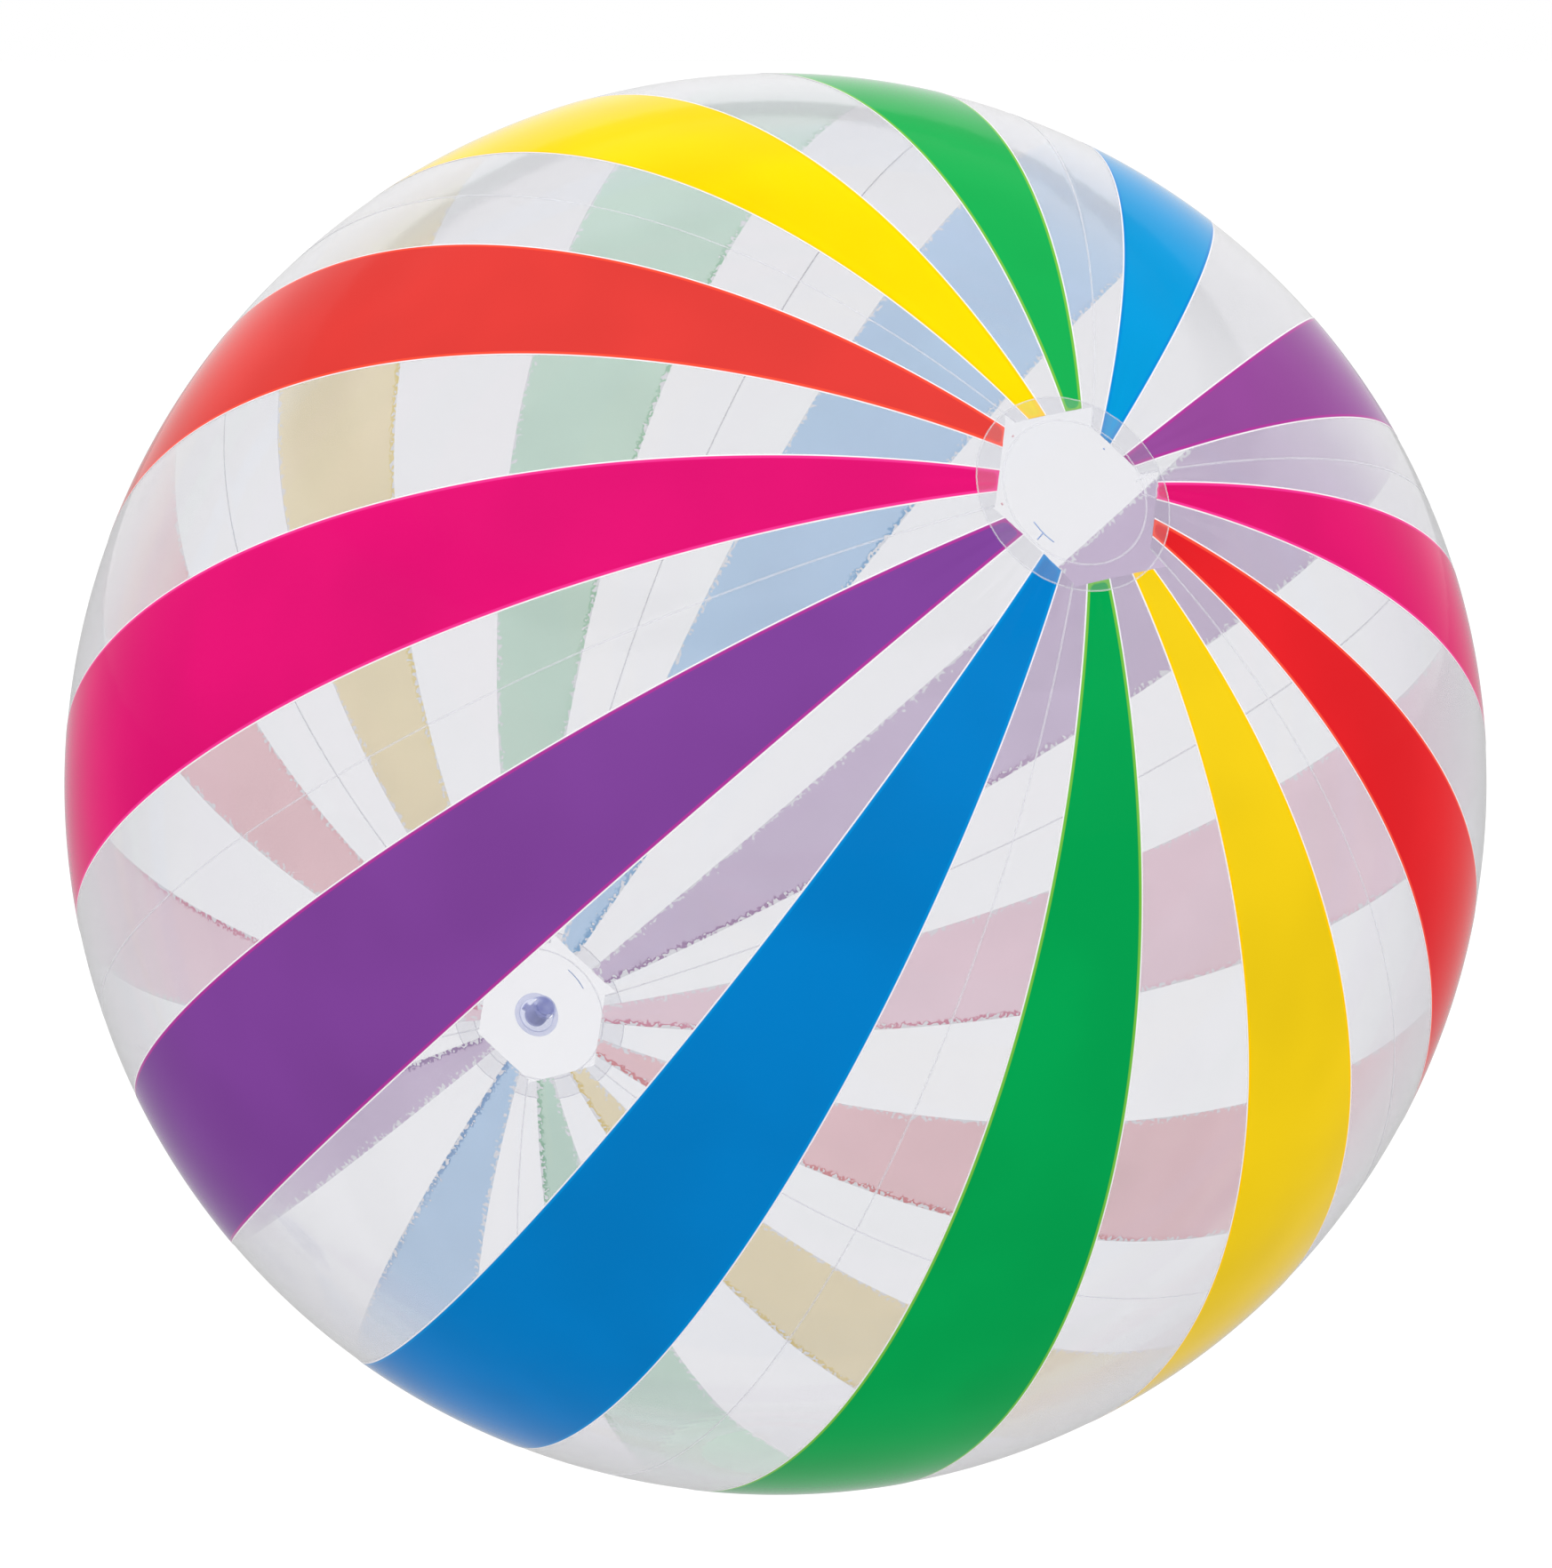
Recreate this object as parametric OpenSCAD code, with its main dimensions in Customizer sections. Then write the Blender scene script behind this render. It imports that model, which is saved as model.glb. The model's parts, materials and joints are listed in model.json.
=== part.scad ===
// An inflatable beach ball, blown up and standing on the flat patch that its own
// weight makes: six film gores with two printed stripes each, a round film cap at
// each pole, and in one cap a push-in valve with its plug and check flap.
// The row frame has +Z up and its origin in the middle of the patch.

/* [Ball] */
// outside radius of the blown-up film
ball_r = 340; // [200:1:600]
// radius of the flat patch that the ball stands on
patch_r = 40; // [20:1:60]
// thickness of the clear film
film_t = 0.3; // [0.25:0.05:0.6]
// how far each gore reaches under the next one at a seam
lap_w = 5; // [3:0.5:12]
// angle from the pole to the gores' cut ends, in degrees
gore_end = 6.8; // [5:0.1:8]
// air between two layers that lie on each other
layer_gap = 0.02; // [0.01:0.01:0.05]

/* [Stance] */
// how far the axis through the two caps leans from upright, in degrees
pole_tilt = 59.2; // [50:0.1:66]
// which way the plain cap's pole leans, in degrees from +X
pole_heading = -63.4; // [-180:0.1:180]
// turn of the first seam about that axis, in degrees
first_seam = 217.9; // [216:0.1:222]

/* [Print] */
// width of each printed stripe, in degrees round the axis
stripe_w = 15; // [10:0.5:18]
// thickness of the printed layer
print_t = 0.2; // [0.2:0.05:0.4]

/* [End caps] */
// angle from the pole to the caps' round edge, in degrees
cap_edge = 8.4; // [8.2:0.1:12]
// radius of the hole in the valve cap
cap_hole_r = 9.8; // [9.7:0.1:10.5]

/* [Valve] */
// outside radius of the welded flange
flange_r = 12.5; // [12:0.1:16]
// inside radius of the flange
flange_hole_r = 9.6; // [9.5:0.1:9.7]
// thickness of the flange
flange_t = 0.8; // [0.5:0.1:1.2]
// outside radius of the stem
stem_r = 6; // [5.9:0.05:6.1]
// length of the stem below the flange's top
stem_l = 13; // [12:0.5:16]
// radius of the plug's seat in the stem
seat_r = 4.2; // [4.15:0.05:4.3]
// depth of the plug's seat
seat_l = 5.5; // [5:0.1:6]
// radius of the nozzle bore below the seat
nozzle_r = 3.2; // [2.8:0.1:3.4]
// radius of the plug's head
head_r = 6.2; // [6:0.1:6.4]
// thickness of the plug's head
head_t = 1.8; // [1.4:0.1:2.2]
// length of the plug's tapered stub
stub_l = 4.3; // [4:0.1:4.4]
// distance of the strap's living hinge from the stem's axis
hinge_x = 8; // [7.9:0.05:8.1]
// width of the strap
strap_w = 3.4; // [3:0.1:3.6]
// radius of the check flap
flap_r = 4.4; // [4:0.1:4.6]
// turn of the strap about the valve's axis, in degrees
valve_turn = -45; // [-180:1:180]

/* [Hidden] */

gore_w = 360 / 6;
half_gap = (gore_w - 2 * stripe_w) / 4;
centre_h = sqrt(ball_r * ball_r - patch_r * patch_r);
print_in = ball_r + layer_gap;
print_out = print_in + print_t;
cap_in = print_out + layer_gap;
cap_out = cap_in + film_t;
flange_in = cap_out + layer_gap;
flange_out = flange_in + flange_t;
lap_out = ball_r - film_t - layer_gap;
lap_in = lap_out - film_t;
lap_deg = lap_w / ball_r * 180 / PI;
big = 1.2 * ball_r;
rim_z = 0.1;
head_z = 0.2;
hinge_z = 0.7;
bead_r = 0.5;
flap_x = 5;
flap_z = -stem_l - 0.5;
film = [0.86, 0.88, 0.9, 0.45];
valve_blue = [0.55, 0.6, 0.86, 0.8];
yellow = [0.98, 0.83, 0.03];
green = [0.0, 0.63, 0.3];
blue = [0.0, 0.45, 0.74];
purple = [0.5, 0.27, 0.6];
magenta = [0.9, 0.06, 0.43];
red = [0.91, 0.2, 0.18];

// ---- frames -----------------------------------------------------------------

// the ball's own frame: centre of the ball, +Z through the plain cap
module in_ball(turn = 0) {
    translate([0, 0, centre_h])
        rotate([0, pole_tilt, pole_heading])
            rotate([0, 0, turn])
                children();
}

// the valve's own frame: middle of the flange's top, +Z out of the ball
module in_valve() {
    in_ball()
        rotate([180, 0, 0])
            rotate([0, 0, valve_turn])
                translate([0, 0, flange_out])
                    children();
}

// ---- film and print ---------------------------------------------------------

// all of a meridian's half plane but what the gores' cut ends leave open
module cut_ends(end) {
    polygon([
        [0, 0],
        [big * sin(end), -big * cos(end)],
        [big, -big * cos(end)],
        [big, big * cos(end)],
        [big * sin(end), big * cos(end)]
    ]);
}

// half of a ring between two circles, seen edge on
module half_ring(outer, inner) {
    intersection() {
        difference() {
            circle(r = outer, $fn = 180);
            circle(r = inner, $fn = 180);
        }
        translate([0, -big])
            square([big, 2 * big]);
    }
}

// one layer of wall between two radii, two meridians and the cut ends
module layer(outer, inner, from, wide, end) {
    in_ball(from)
        rotate_extrude(angle = wide, $fn = 180)
            intersection() {
                half_ring(outer, inner);
                cut_ends(end);
            }
}

// what the ground takes off a round ball
module ground() {
    translate([-big, -big, -2 * big])
        cube([2 * big, 2 * big, 2 * big]);
}

// the flat disc that closes the wall where the ball stands
module foot() {
    middle_r = ball_r - film_t / 2;
    cylinder(
        h = film_t,
        r1 = sqrt(middle_r * middle_r - centre_h * centre_h),
        r2 = sqrt(middle_r * middle_r - (centre_h - film_t) * (centre_h - film_t)),
        $fn = 90
    );
}

// one gore: its skin, and a lap along its first edge that lies under the next gore
module gore(i) {
    from = first_seam - gore_w * i;
    color(film)
        union() {
            difference() {
                union() {
                    layer(ball_r, ball_r - film_t, from, gore_w, gore_end);
                    layer(lap_out, lap_in, from - lap_deg * 0.6, lap_deg, gore_end + 0.3);
                    layer(ball_r - film_t / 2, (lap_out + lap_in) / 2,
                        from + lap_deg * 0.05, lap_deg * 0.25, gore_end + 0.6);
                }
                ground();
            }
            intersection() {
                foot();
                in_ball(from)
                    rotate_extrude(angle = gore_w, $fn = 180)
                        cut_ends(gore_end);
            }
        }
}

// stripe number n, two to a gore, counted clockwise from the first seam
module stripe(n, ink) {
    gore_no = ceil(n / 2);
    side = 2 * gore_no - n;
    from = first_seam - gore_w * gore_no + half_gap
        + side * (stripe_w + 2 * half_gap);
    color(ink)
        difference() {
            layer(print_out, print_in, from, stripe_w, gore_end);
            ground();
        }
}

// ---- end caps ---------------------------------------------------------------

// a round cap of film, domed with the ball, with a hole if hole_r is over 0
module film_cap(hole_r) {
    rotate_extrude($fn = 180)
        intersection() {
            half_ring(cap_out, cap_in);
            polygon([[0, 0], [big * sin(cap_edge), big * cos(cap_edge)], [0, big]]);
            translate([hole_r, 0])
                square([big, big]);
        }
}

module plain_cap() {
    color(film)
        in_ball()
            film_cap(0);
}

module valve_cap() {
    color(film)
        in_ball()
            rotate([180, 0, 0])
                film_cap(cap_hole_r);
}

// ---- valve ------------------------------------------------------------------

module valve_flange() {
    color(valve_blue)
        in_ball()
            rotate([180, 0, 0])
                rotate_extrude($fn = 90)
                    intersection() {
                        half_ring(flange_out, flange_in);
                        translate([flange_hole_r, 0])
                            square([flange_r - flange_hole_r, big]);
                    }
}

// the thin sleeve that turns inside out between flange and stem
module valve_neck() {
    top_r = flange_hole_r - 0.1;
    foot_r = stem_r + 0.1;
    skin = 0.6;
    color(valve_blue)
        in_valve()
            rotate_extrude($fn = 90)
                polygon([
                    [top_r, -0.1],
                    [top_r, -1],
                    [foot_r + skin, -stem_l + 0.4],
                    [foot_r + skin, -stem_l],
                    [foot_r, -stem_l],
                    [foot_r, -stem_l + 0.5],
                    [top_r - skin, -1],
                    [top_r - skin, -0.1]
                ]);
}

// the tube, with the small lug that carries the strap
module valve_stem() {
    color(valve_blue)
        in_valve()
            union() {
                rotate_extrude($fn = 90)
                    polygon([
                        [seat_r, rim_z],
                        [stem_r - 0.4, rim_z],
                        [stem_r, rim_z - 0.4],
                        [stem_r, -stem_l + 0.3],
                        [stem_r - 0.3, -stem_l],
                        [nozzle_r, -stem_l],
                        [nozzle_r, rim_z - seat_l],
                        [seat_r, rim_z - seat_l]
                    ]);
                translate([-hinge_x - 0.3, -strap_w / 2, rim_z - 1.9])
                    cube([hinge_x + 0.3 - (stem_r + seat_r) / 2, strap_w, 1.8]);
            }
}

// the head and its tapered stub
module plug() {
    color(valve_blue)
        in_valve()
            difference() {
                rotate_extrude($fn = 90)
                    polygon([
                        [0, head_z - stub_l],
                        [2.5, head_z - stub_l],
                        [2.9, head_z - stub_l + 0.4],
                        [seat_r - 0.2, head_z],
                        [head_r - 0.4, head_z],
                        [head_r, head_z + 0.4],
                        [head_r, head_z + head_t - 0.6],
                        [head_r - 0.6, head_z + head_t],
                        [3.4, head_z + head_t],
                        [2.9, head_z + head_t - 0.4],
                        [0, head_z + head_t - 0.4]
                    ]);
                translate([-head_r - 1, -3, head_z - 0.1])
                    cube([1.4, 6, head_t + 0.2]);
            }
}

// the strap: a flat tongue from the head to a round bead on the hinge's axis
module plug_strap() {
    color(valve_blue)
        in_valve()
            union() {
                translate([-hinge_x, -strap_w / 2, hinge_z - 0.35])
                    cube([hinge_x - head_r + 0.4, strap_w, 0.7]);
                translate([-hinge_x, 0, hinge_z])
                    rotate([90, 0, 0])
                        cylinder(h = strap_w, r = bead_r, center = true, $fn = 32);
            }
}

// the disc that shuts the stem's inner end, with its own bead
module check_flap() {
    color(valve_blue)
        in_valve()
            union() {
                translate([0, 0, flap_z - 0.3])
                    cylinder(h = 0.6, r = flap_r, $fn = 64);
                translate([flap_r - 1, -1.5, flap_z - 0.25])
                    cube([flap_x - flap_r + 1, 3, 0.5]);
                translate([flap_x, 0, flap_z])
                    rotate([90, 0, 0])
                        cylinder(h = 3, r = 0.3, center = true, $fn = 32);
            }
}

// ---- one module a node ------------------------------------------------------

module gore_1() gore(1);
module gore_2() gore(2);
module gore_3() gore(3);
module gore_4() gore(4);
module gore_5() gore(5);
module gore_6() gore(6);
module stripe_01_yellow() stripe(1, yellow);
module stripe_02_green() stripe(2, green);
module stripe_03_blue() stripe(3, blue);
module stripe_04_purple() stripe(4, purple);
module stripe_05_magenta() stripe(5, magenta);
module stripe_06_red() stripe(6, red);
module stripe_07_yellow() stripe(7, yellow);
module stripe_08_green() stripe(8, green);
module stripe_09_blue() stripe(9, blue);
module stripe_10_purple() stripe(10, purple);
module stripe_11_magenta() stripe(11, magenta);
module stripe_12_red() stripe(12, red);

gore_1();
gore_2();
gore_3();
gore_4();
gore_5();
gore_6();
stripe_01_yellow();
stripe_02_green();
stripe_03_blue();
stripe_04_purple();
stripe_05_magenta();
stripe_06_red();
stripe_07_yellow();
stripe_08_green();
stripe_09_blue();
stripe_10_purple();
stripe_11_magenta();
stripe_12_red();
plain_cap();
valve_cap();
valve_flange();
valve_neck();
valve_stem();
plug();
plug_strap();
check_flap();
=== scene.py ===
"""An inflatable beach ball: clear film gores, printed stripes, a film cap at each pole, a push-in valve."""

import json
import math

import bpy
import numpy as np
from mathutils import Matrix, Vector


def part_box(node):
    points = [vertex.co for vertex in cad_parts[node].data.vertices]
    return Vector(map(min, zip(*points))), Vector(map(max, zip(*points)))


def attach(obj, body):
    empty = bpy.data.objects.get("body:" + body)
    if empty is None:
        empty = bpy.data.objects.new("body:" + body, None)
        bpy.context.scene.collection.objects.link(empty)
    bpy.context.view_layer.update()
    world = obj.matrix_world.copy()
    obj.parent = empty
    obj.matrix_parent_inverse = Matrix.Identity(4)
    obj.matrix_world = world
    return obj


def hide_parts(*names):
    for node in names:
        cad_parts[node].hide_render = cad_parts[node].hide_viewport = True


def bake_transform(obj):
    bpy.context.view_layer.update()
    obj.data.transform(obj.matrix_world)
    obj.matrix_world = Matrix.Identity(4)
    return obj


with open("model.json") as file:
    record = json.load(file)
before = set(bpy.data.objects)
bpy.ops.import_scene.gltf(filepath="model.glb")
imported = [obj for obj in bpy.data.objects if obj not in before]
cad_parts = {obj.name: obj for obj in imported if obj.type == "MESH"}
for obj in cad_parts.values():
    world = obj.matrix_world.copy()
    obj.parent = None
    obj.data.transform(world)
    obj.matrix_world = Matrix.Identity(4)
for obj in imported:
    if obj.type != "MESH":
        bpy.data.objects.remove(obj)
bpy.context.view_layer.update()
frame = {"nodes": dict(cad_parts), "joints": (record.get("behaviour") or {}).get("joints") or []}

MM = 0.001
RAD = math.pi / 180

# ---- sizes of the ball: lengths in metres, angles in degrees ----

FILM_T = 0.3 * MM  # the film's wall
PRINT_GAP = 0.02 * MM  # the print's underside above the film
PRINT_T = 0.2 * MM  # the print, drawn thicker than real ink so that it has a wall
CAP_GAP = 0.04 * MM
CAP_LIFT = PRINT_GAP + PRINT_T + CAP_GAP / 2 + FILM_T  # a cap's outside above the gores' outside
GORES = 6
GORE_W = 60.0
STRIPE_W = 15.0
HALF_GAP = (GORE_W - 2 * STRIPE_W) / 4
FIRST_SEAM = 217.9  # azimuth of the seam before the first stripe
NEAR_CUTS = [5.8, 4.2, 5.6, 7.1, 6.8, 6.6]  # from the pole to each gore's straight end, at the plain cap
FAR_CUTS = [6.2, 7.1, 6.1, 6.15, 5.75, 5.35]  # the same at the valve cap
CAP_SHIFT = {1: (1.1, 295.0), -1: (0.0, 119.0)}  # how far and which way each cap lies off its pole
CAP_RIM = {1: 7.6, -1: 8.4}  # each cap's edge from its own middle; 1 is the plain cap and -1 the valve's
CAP_HOLE_R = 9.8 * MM  # the valve's hole in its cap
RIM_INSET, WELD_INSET = 0.06, 2.0  # from a cap's edge in to the bead on its rim, and to its inner weld

# The twelve stripes in order round the ball and the ink of each; the tones drift a little between gores.
STRIPES = [
    ("yellow", "E5C900"),
    ("green", "12A04A"),
    ("blue", "008CC6"),
    ("purple", "8A438E"),
    ("magenta", "D00F64"),
    ("red", "D51E24"),
    ("yellow", "E4C113"),
    ("green", "00994A"),
    ("blue", "0074BA"),
    ("purple", "763D8F"),
    ("magenta", "D10D69"),
    ("red", "CF3833"),
]
# The white layer under each ink, tinted by the ink over it, which is what shows from inside the ball.
UNDERPRINT = {
    "yellow": "FFF0C8",
    "green": "D4F0DE",
    "blue": "C6E1FC",
    "purple": "DCCAE4",
    "magenta": "FFE2EC",
    "red": "FFD6DA",
}
# The colour of the thin line where a stripe's inks overlap along its edges.
TRAP = {
    "yellow": "F2C200",
    "green": "6DB33F",
    "blue": "0080C4",
    "purple": "A4338F",
    "magenta": "E33087",
    "red": "EA4A36",
}


def linear(code):
    """An sRGB hex colour as linear RGB and alpha 1: c/12.92, or ((c + 0.055)/1.055)^2.4 where brighter."""
    out = []
    for i in (0, 2, 4):
        c = int(code[i : i + 2], 16) / 255
        out.append(c / 12.92 if c <= 0.04045 else ((c + 0.055) / 1.055) ** 2.4)
    return (*out, 1.0)


# ---- the ball's own frame: its pole is opposite the way the valve pulls out ----

joints = {j["name"]: j for j in frame["joints"]}
out_axis = np.array(joints["valve_pull"]["axis"], float)
out_axis /= np.linalg.norm(out_axis)
pole = -out_axis
tilt = math.acos(pole[2])
heading = math.atan2(pole[1], pole[0])
east = np.array([math.cos(tilt) * math.cos(heading), math.cos(tilt) * math.sin(heading), -math.sin(tilt)])
north = np.cross(pole, east)

gore_boxes = [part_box(f"gore_{i + 1}") for i in range(GORES)]
low = np.min([b[0] for b in gore_boxes], axis=0)
high = np.max([b[1] for b in gore_boxes], axis=0)
BALL_R = round(float(high[0] - low[0]) / 2, 3)
CENTRE = np.array([0.0, 0.0, round(float(high[2]), 4) - BALL_R])


def smooth(t):
    """The smooth step 3t^2 - 2t^3 of t held between 0 and 1."""
    t = np.clip(t, 0, 1)
    return t * t * (3 - 2 * t)


SEAM_CREASE, SEAM_REACH = 0.15 * MM, 7 * MM  # depth and half width of the dip along a seam
CREASE_FROM, CREASE_FADE = 8.0, 10.0  # where the dip starts from the pole, and the angle it grows over
PLEAT_AT, PLEAT_REACH = 9.5, 5.0  # the band of pleats round a cap: its angle from the pole and its half width
PLEAT, SWELL = 0.12 * MM, 0.3 * MM  # height of the pleats and of the slow unevenness
FOOT_ROUND = 1.2 * MM  # rounding where the ball meets the ground


def skin(lat, az, lift):
    """Points of the blown-up skin at latitude and azimuth in degrees, lift metres above the film's outside.

    The radius is the ball's, less a crease along each seam that falls off as a Gaussian of the distance to
    it, plus three sines of the azimuth as pleats in a Gaussian band round each cap, plus one slow sine over
    the whole. A height h above the ground becomes half the sum of h and the root of h squared plus the
    rounding squared.
    """
    lat, az, lift = np.broadcast_arrays(np.asarray(lat, float), np.asarray(az, float), lift)
    colat = 90 - np.abs(lat)
    from_seam = (az - FIRST_SEAM + GORE_W / 2) % GORE_W - GORE_W / 2
    away = np.abs(from_seam) * RAD * BALL_R * np.cos(lat * RAD)
    crease = SEAM_CREASE * np.exp(-((away / SEAM_REACH) ** 2)) * smooth((colat - CREASE_FROM) / CREASE_FADE)
    near_cap = np.exp(-(((colat - PLEAT_AT) / PLEAT_REACH) ** 2))
    waves = np.sin(24 * az * RAD + 1.3 * np.sign(lat))
    waves = waves + 0.6 * np.sin(41 * az * RAD + 0.8) + 0.4 * np.sin(67 * az * RAD)
    slow = SWELL * np.sin(3 * az * RAD + 0.05 * lat) * np.cos(lat * RAD)
    r = BALL_R - crease + PLEAT * near_cap * waves + slow + lift
    x = np.cos(lat * RAD) * np.cos(az * RAD)
    y = np.cos(lat * RAD) * np.sin(az * RAD)
    z = np.sin(lat * RAD)
    p = CENTRE + r[..., None] * (x[..., None] * east + y[..., None] * north + z[..., None] * pole)
    ground = PRINT_T + PRINT_GAP + lift
    above = p[..., 2] - ground
    p[..., 2] = ground + 0.5 * (above + np.sqrt(above**2 + FOOT_ROUND**2))
    return p


# ---- mesh and material helpers ----


def grid_faces(rows, cols, closed=False):
    """Quads over a grid of rows by cols points, joined round in the second direction if closed."""
    i = np.arange(rows - 1)[:, None]
    j = np.arange(cols if closed else cols - 1)[None, :]
    k = (j + 1) % cols
    return np.stack([i * cols + j, i * cols + k, (i + 1) * cols + k, (i + 1) * cols + j], -1).reshape(-1, 4)


def new_piece(name, points, faces, materials, attributes=None):
    """A smooth-shaded mesh object at the origin from arrays of points and faces.

    Scattered light passes through every piece, because the thin film and prints of the real ball let it in.
    """
    mesh = bpy.data.meshes.new(name)
    mesh.from_pydata(np.asarray(points).reshape(-1, 3).tolist(), [], [list(map(int, f)) for f in faces])
    for key, values in (attributes or {}).items():
        layer = mesh.attributes.new(key, "FLOAT", "POINT")
        layer.data.foreach_set("value", np.asarray(values, np.float32).ravel())
    for m in materials:
        mesh.materials.append(m)
    mesh.shade_smooth()
    mesh.update()
    obj = bpy.data.objects.new(name, mesh)
    obj.visible_diffuse = obj.visible_transmission = False
    bpy.context.scene.collection.objects.link(obj)
    return obj


def thicken(obj, t, inner=0, rim=0):
    """A wall of thickness t under the surface, whose inside and rim use the material that many slots on.

    The normals are then weighed by face area, so that the thin cut edge doesn't tilt those of the sheet.
    """
    s = obj.modifiers.new("wall", "SOLIDIFY")
    s.thickness, s.offset, s.use_even_offset = t, -1, True
    s.material_offset, s.material_offset_rim = inner, rim
    even = obj.modifiers.new("even_normals", "WEIGHTED_NORMAL")
    even.mode, even.weight, even.keep_sharp = "FACE_AREA", 100, False


SOFT = {"interpolation_type": "SMOOTHSTEP"}  # a Map Range with smooth ends


def add(tree, kind, inputs=None, **settings):
    """Adds one node, sets its settings, then fills or links its inputs by name or number."""
    n = tree.nodes.new(kind)
    for key, value in settings.items():
        setattr(n, key, value)
    for key, value in (inputs or {}).items():
        if isinstance(value, bpy.types.NodeSocket):
            tree.links.new(value, n.inputs[key])
        else:
            n.inputs[key].default_value = value
    return n


def new_material(name):
    """An empty node material and its tree."""
    m = bpy.data.materials.new(name)
    m.use_nodes = True
    m.node_tree.nodes.clear()
    return m, m.node_tree


def glancing(tree, head_on, power):
    """How far the surface turns from the eye, and the share of light it mirrors.

    The share is head_on seen square, and rises to all of it with that power of one less the angle's cosine.
    """
    facing = add(tree, "ShaderNodeLayerWeight", {"Blend": 0.5}).outputs["Facing"]
    rise = add(tree, "ShaderNodeMath", {0: facing, 1: power}, operation="POWER").outputs[0]
    mirrored = add(tree, "ShaderNodeMapRange", {"Value": rise, "To Min": head_on, "To Max": 1.0})
    return facing, mirrored.outputs["Result"]


def clear_film(name, tint, haze_hex, haze, rim_haze, rough, grain_mm, depth_mm, head_on=0.02, power=5.0):
    """Thin clear PVC: a see-through sheet of that tint, a haze that grows with the angle, and a gloss.

    The haze goes from its share seen square to rim_haze seen edge on. A noise with its grain and depth in
    millimetres ripples the gloss.
    """
    m, t = new_material(name)
    where = add(t, "ShaderNodeTexCoord").outputs["Object"]
    ripple = add(t, "ShaderNodeTexNoise", {"Vector": where, "Scale": 1 / (grain_mm * MM), "Detail": 3.0})
    bump = add(
        t, "ShaderNodeBump", {"Strength": 0.5, "Distance": depth_mm * MM, "Height": ripple.outputs["Fac"]}
    )
    facing, mirrored = glancing(t, head_on, power)
    cloudy = add(
        t, "ShaderNodeMapRange",
        {"Value": facing, "From Min": 0.45, "From Max": 1.0, "To Min": haze, "To Max": rim_haze},
        **SOFT,
    )
    through = add(t, "ShaderNodeBsdfTransparent", {"Color": linear(tint)})
    milky = add(
        t, "ShaderNodeBsdfPrincipled",
        {"Base Color": linear(haze_hex), "Roughness": 0.5, "Specular IOR Level": 0.0},
    )
    gloss = add(
        t, "ShaderNodeBsdfGlossy",
        {"Color": linear("FFFFFF"), "Roughness": rough, "Normal": bump.outputs["Normal"]},
    )
    body = add(
        t, "ShaderNodeMixShader", {0: cloudy.outputs["Result"], 1: through.outputs[0], 2: milky.outputs[0]}
    )
    skin_shader = add(t, "ShaderNodeMixShader", {0: mirrored, 1: body.outputs[0], 2: gloss.outputs[0]})
    add(t, "ShaderNodeOutputMaterial", {"Surface": skin_shader.outputs[0]})
    return m


EDGE_WHITE = (0.4, 0.8)  # mm from a stripe's edge where the bare white layer ends
EDGE_TRAP = (1.7, 2.1)  # mm from it where the overlap of two inks ends
INK_CLOUD = 90 * MM  # across a cloud of uneven squeegee pressure
FILM_RIPPLE = 28 * MM  # across a ripple of the film, which the gloss shows
BARE_WHITE = "E9E6E9"
CAP_VEIL = 0.05  # the share of white over the ink under a cap's film


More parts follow.
